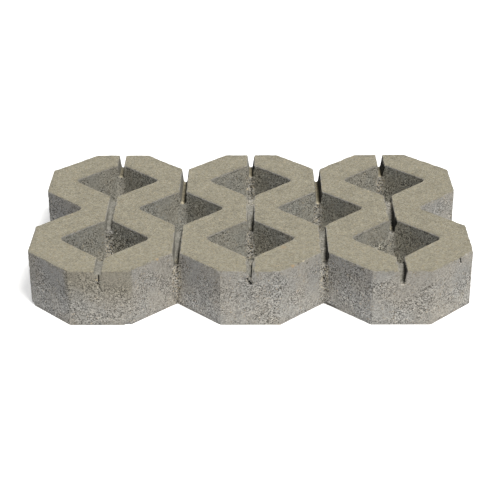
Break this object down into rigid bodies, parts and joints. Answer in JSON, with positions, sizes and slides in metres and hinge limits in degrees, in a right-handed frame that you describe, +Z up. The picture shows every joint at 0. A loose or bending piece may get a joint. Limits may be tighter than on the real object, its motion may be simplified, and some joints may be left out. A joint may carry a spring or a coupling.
{
  "type": "concrete grass paver",
  "caption": "Flat lattice slab of pressed concrete with square soil openings set corner to corner and narrow grooves across its top, for ground that grass grows through and vehicles cross.",
  "frame": {"origin": "middle of the underside, on the solid crossing between the four middle openings", "axes": "+X along the paver, +Y across it to the back, +Z up to the grooved top"},
  "size_m": [0.6, 0.4, 0.08],
  "materials": {
    "concrete": "dry, matt, open-grained pressed concrete, with a closer beige top and grey sides"
  },
  "bodies": {
    "root": {"grass_paver": "concrete"}
  },
  "joints": []
}
